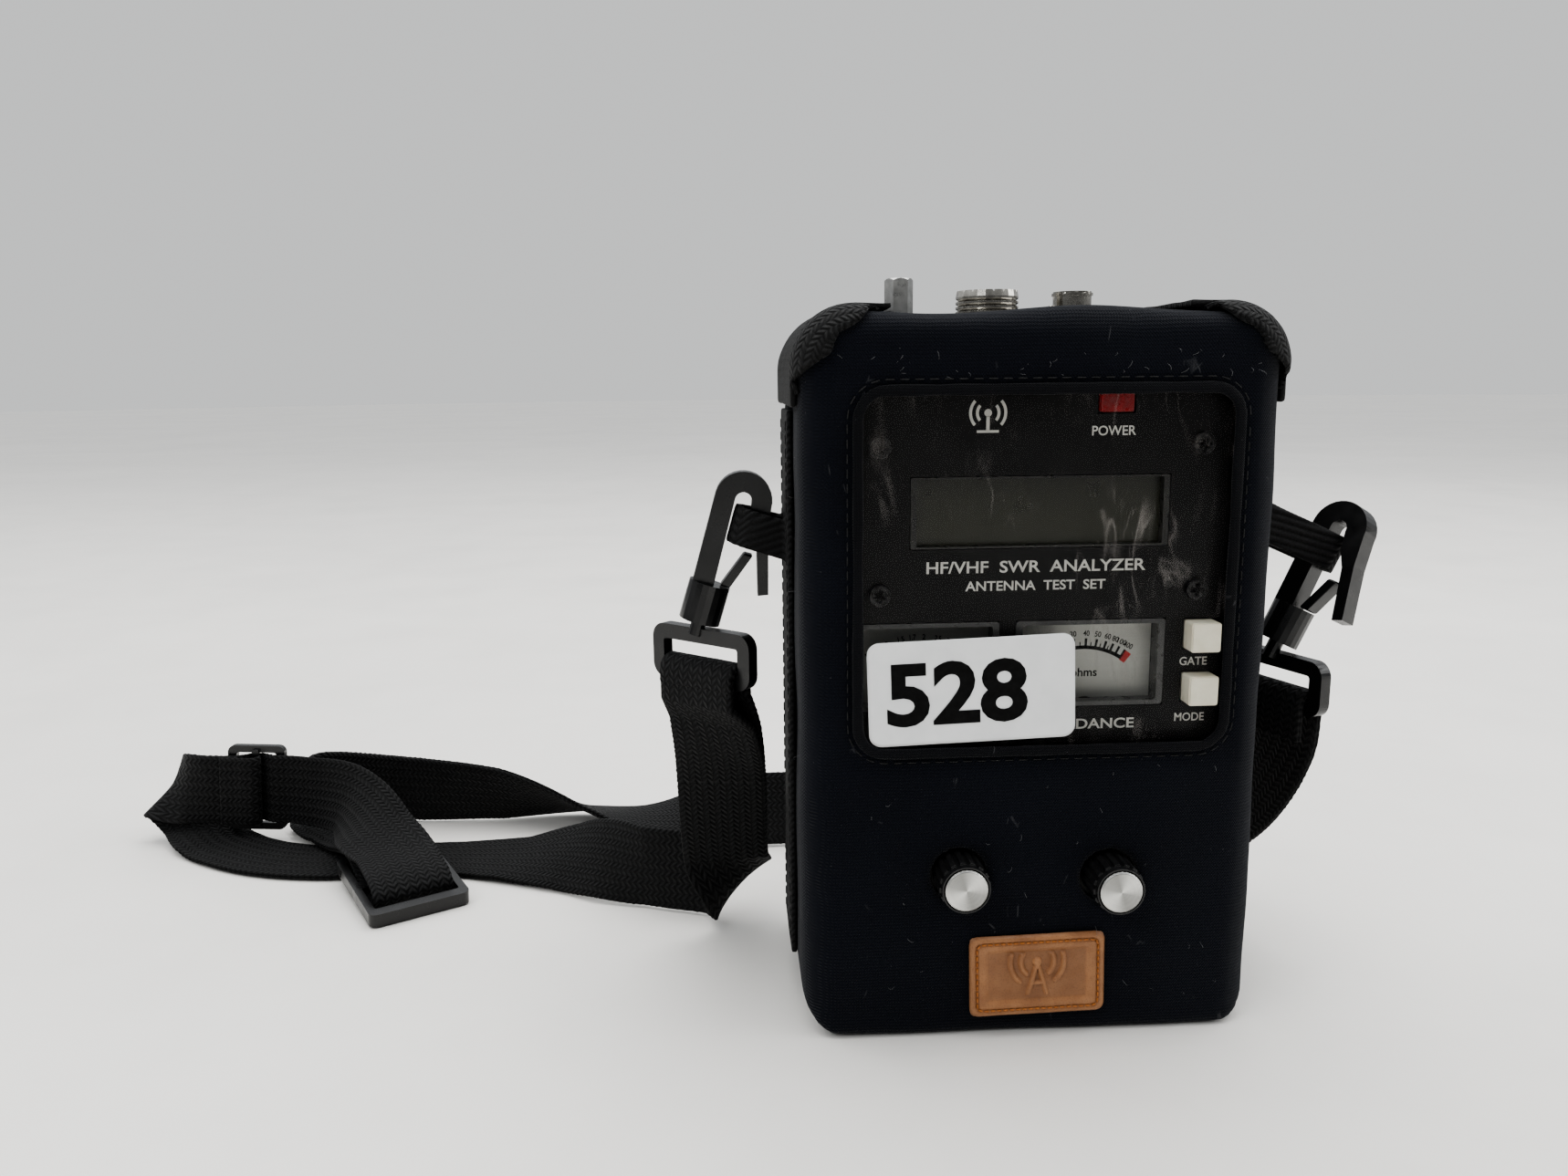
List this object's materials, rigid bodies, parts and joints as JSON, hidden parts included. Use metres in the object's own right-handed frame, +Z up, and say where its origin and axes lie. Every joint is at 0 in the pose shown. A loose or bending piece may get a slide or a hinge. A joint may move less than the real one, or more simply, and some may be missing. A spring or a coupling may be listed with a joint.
{
  "type": "swr meter",
  "caption": "Handheld antenna analyser with digital display, needle meters and tuning knobs, worn in a padded fabric pouch with a clip-on shoulder strap.",
  "frame": {"origin": "middle of the pouch's flat underside", "axes": "+Z up towards the connectors, -Y out of the meter panel, +X to the right seen from the front"},
  "size_m": [0.3817, 0.1755, 0.1887],
  "materials": {
    "neoprene": "knit-faced foam",
    "webbing": "woven nylon",
    "binding": "folded tape",
    "vinyl": "clear flexible film",
    "leather": "embossed",
    "label": "satin sticker",
    "acetal": "semi-gloss",
    "panel": "gloss with white legends",
    "paint": "black powder coat",
    "glass": "dark display glass",
    "bezel": "satin",
    "board": "circuit board",
    "meter_shell": "smooth",
    "dial": "matt printed",
    "needle": "matt",
    "cream": "smooth",
    "red": "smooth",
    "knob": "satin",
    "aluminium": "spun",
    "nickel": "nickel plate",
    "steel": "turned",
    "black_screw": "black oxide",
    "insulator": "smooth",
    "component": "moulded",
    "cell": "printed sleeve"
  },
  "bodies": {
    "pouched_case": {"front_chassis": "paint", "back_cover": "paint", "panel_overlay": "panel", "panel_screw_1": "black_screw", "panel_screw_2": "black_screw", "panel_screw_3": "black_screw", "panel_screw_4": "black_screw", "display_bezel": "bezel", "display_glass": "glass", "main_board": "board", "rf_board": "board", "swr_meter_housing": "meter_shell", "swr_meter_dial": "dial", "impedance_meter_housing": "meter_shell", "impedance_meter_dial": "dial", "gate_switch": "component", "mode_switch": "component", "power_switch": "component", "tune_capacitor": "component", "band_switch": "component", "battery_tray": "component", "battery_cells": "cell", "uhf_socket_shell": "nickel", "uhf_socket_insulator": "insulator", "uhf_socket_contact": "nickel", "bnc_socket_shell": "nickel", "bnc_socket_insulator": "insulator", "ground_post": "nickel", "power_jack": "component", "pouch_shell": "neoprene", "window_vinyl": "vinyl", "window_binding": "binding", "corner_webbing_left": "webbing", "corner_webbing_right": "webbing", "side_webbing_left": "webbing", "side_webbing_right": "webbing", "leather_patch": "leather", "lot_label": "label", "back_pocket": "neoprene", "left_strap_ring": "acetal", "right_strap_ring": "acetal", "shoulder_strap": "webbing", "floor_slider": "acetal", "standing_slider": "acetal"},
    "gate_key": {"gate_button": "cream"},
    "mode_key": {"mode_button": "cream"},
    "power_key": {"power_button": "red"},
    "tune_control": {"tune_knob": "knob", "tune_knob_cap": "aluminium", "tune_shaft": "steel"},
    "frequency_control": {"frequency_knob": "knob", "frequency_knob_cap": "aluminium", "frequency_shaft": "steel"},
    "swr_pointer": {"swr_needle": "needle"},
    "impedance_pointer": {"impedance_needle": "needle"},
    "flap": {"pocket_flap": "neoprene"},
    "left_snap_hook": {"left_hook": "acetal"},
    "left_gate": {"left_hook_gate": "acetal"},
    "right_snap_hook": {"right_hook": "acetal"},
    "right_gate": {"right_hook_gate": "acetal"}
  },
  "joints": [
    {"name": "gate_press", "type": "slide", "parent": "pouched_case", "child": "gate_key", "axis": [0, 1, 0], "range_m": [0, 0.002], "stiffness_N_per_m": 300, "springref_m": -0.0005},
    {"name": "mode_press", "type": "slide", "parent": "pouched_case", "child": "mode_key", "axis": [0, 1, 0], "range_m": [0, 0.002], "stiffness_N_per_m": 300, "springref_m": -0.0005},
    {"name": "power_press", "type": "slide", "parent": "pouched_case", "child": "power_key", "axis": [0, 1, 0], "range_m": [0, 0.0015], "stiffness_N_per_m": 300, "springref_m": -0.0005},
    {"name": "tune_turn", "type": "hinge", "parent": "pouched_case", "child": "tune_control", "pos_m": [-0.0187, -0.035, 0.0429], "axis": [0, 1, 0], "range_deg": [-90, 90]},
    {"name": "frequency_turn", "type": "hinge", "parent": "pouched_case", "child": "frequency_control", "pos_m": [0.019, -0.035, 0.0412], "axis": [0, 1, 0], "range_deg": [0, 150]},
    {"name": "swr_swing", "type": "hinge", "parent": "pouched_case", "child": "swr_pointer", "pos_m": [-0.0275, -0.0265, 0.0803], "axis": [0, 1, 0], "range_deg": [0, 76], "stiffness_Nm_per_rad": 0.0002, "springref_deg": -17.19},
    {"name": "impedance_swing", "type": "hinge", "parent": "pouched_case", "child": "impedance_pointer", "pos_m": [0.0131, -0.0265, 0.0803], "axis": [0, 1, 0], "range_deg": [0, 76], "stiffness_Nm_per_rad": 0.0002, "springref_deg": -17.19},
    {"name": "flap_hinge", "type": "hinge", "parent": "pouched_case", "child": "flap", "pos_m": [0, 0.03695, 0.1305], "axis": [1, 0, 0], "range_deg": [0, 110]},
    {"name": "left_hook_swivel", "type": "hinge", "parent": "pouched_case", "child": "left_snap_hook", "pos_m": [-0.082, 0, 0.1013], "axis": [0.2924, 0, 0.9563], "range_deg": [-6, 6]},
    {"name": "left_gate_hinge", "type": "hinge", "parent": "left_snap_hook", "child": "left_gate", "pos_m": [-0.07497, 0, 0.11097], "axis": [0, -1, 0], "range_deg": [0, 14], "stiffness_Nm_per_rad": 0.01, "springref_deg": -5.73},
    {"name": "right_hook_swivel", "type": "hinge", "parent": "pouched_case", "child": "right_snap_hook", "pos_m": [0.075, 0, 0.092], "axis": [0.4226, 0, 0.9063], "range_deg": [-6, 6]},
    {"name": "right_gate_hinge", "type": "hinge", "parent": "right_snap_hook", "child": "right_gate", "pos_m": [0.08154, -0.00338, 0.10142], "axis": [-0.7849, -0.5, 0.366], "range_deg": [0, 14], "stiffness_Nm_per_rad": 0.01, "springref_deg": -5.73}
  ]
}
